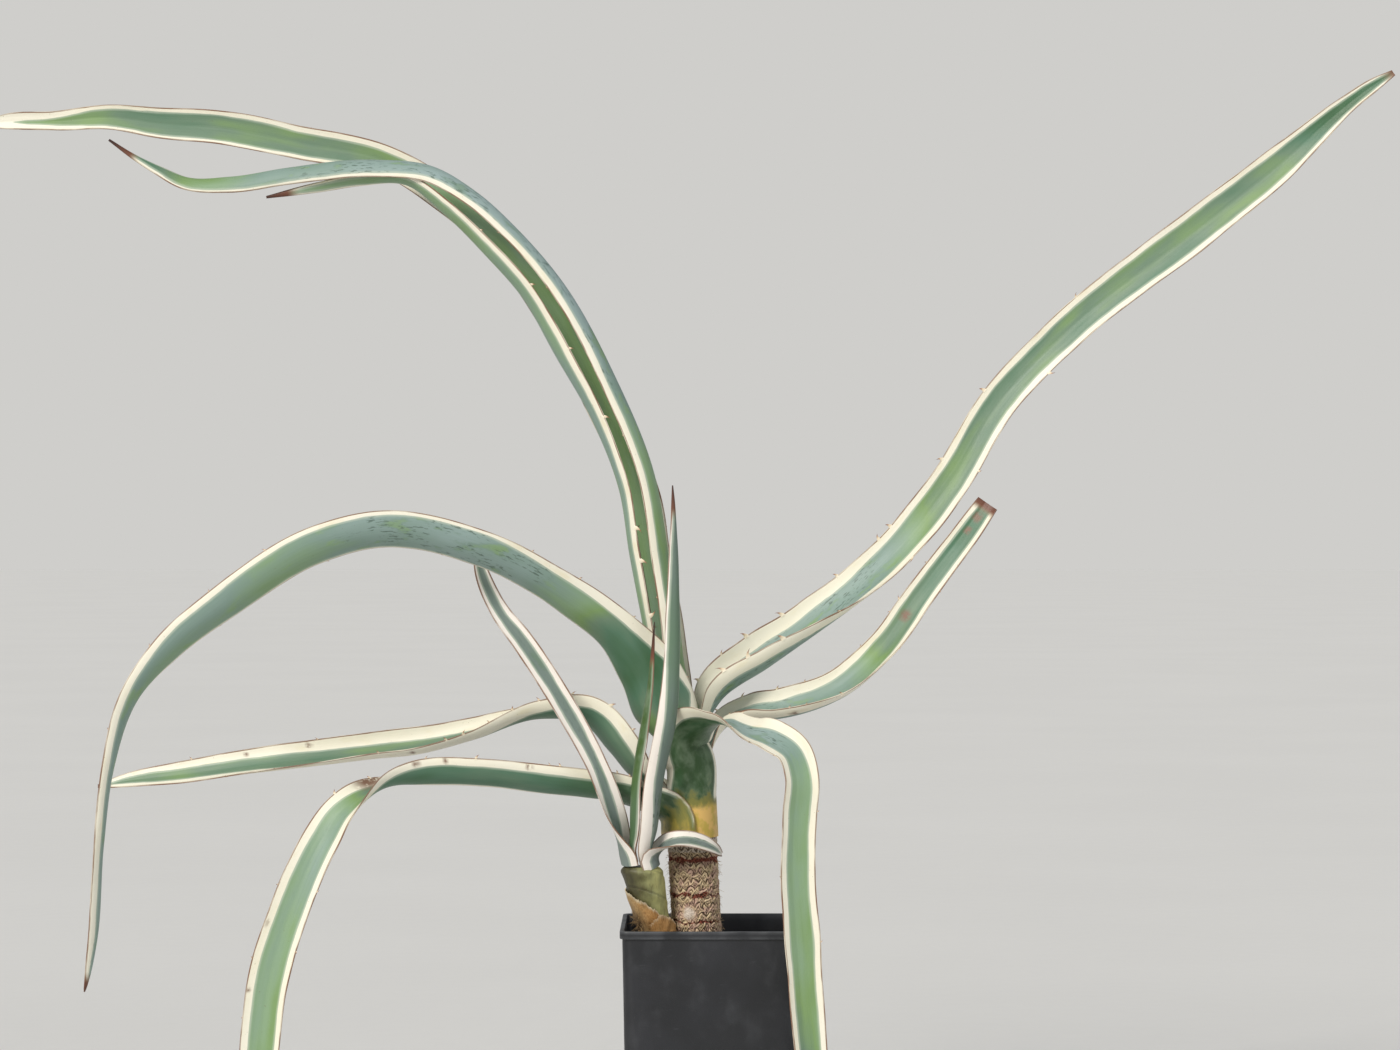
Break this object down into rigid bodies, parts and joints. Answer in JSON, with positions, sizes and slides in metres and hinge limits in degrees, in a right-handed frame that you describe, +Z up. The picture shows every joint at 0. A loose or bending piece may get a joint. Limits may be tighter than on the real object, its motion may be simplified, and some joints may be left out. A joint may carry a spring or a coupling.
{
  "type": "potted agave",
  "caption": "Leggy variegated agave with long arching cream-edged leaves on a bare scarred trunk, a young offset beside it, in a tall square charcoal plastic pot.",
  "frame": {"origin": "Centre of the pot's flat underside, on the surface it stands on.", "axes": "+X to the right across the plant's spread, its longest extent; +Y from the front of the plant to its back, its shortest extent; +Z up."},
  "size_m": [1.5654, 0.3125, 1.2227],
  "materials": {
    "pot_plastic": "moulded charcoal polypropylene with a faint satin grain and scuffs",
    "potting_mix": "loose bark and pumice mix, matte",
    "trunk_bark": "dry fibrous leaf scars in rows, tan with red-brown bands",
    "leaf_blade": "waxy grey-green with cream margins, a thin brown edge line and curved teeth",
    "offset_stem": "smooth olive-yellow young stem",
    "offset_leaf": "waxy blue-grey with cream margins and brown tips",
    "dry_sheath": "dry papery straw-brown sheath"
  },
  "bodies": {
    "root": {"pot": "pot_plastic", "potting_mix": "potting_mix", "trunk": "trunk_bark", "leaf_upright_front": "leaf_blade", "leaf_upright_inner": "leaf_blade", "leaf_upright_long": "leaf_blade", "leaf_arching_left": "leaf_blade", "leaf_low_left": "leaf_blade", "leaf_drooping_left": "leaf_blade", "leaf_front_folded": "leaf_blade", "leaf_long_right": "leaf_blade", "leaf_cut_right": "leaf_blade", "offset_stem": "offset_stem", "offset_leaf_left": "offset_leaf", "offset_leaf_upright": "offset_leaf", "offset_leaf_youngest": "offset_leaf", "offset_leaf_wrapping": "offset_leaf", "offset_papery_sheath": "dry_sheath"}
  },
  "joints": []
}
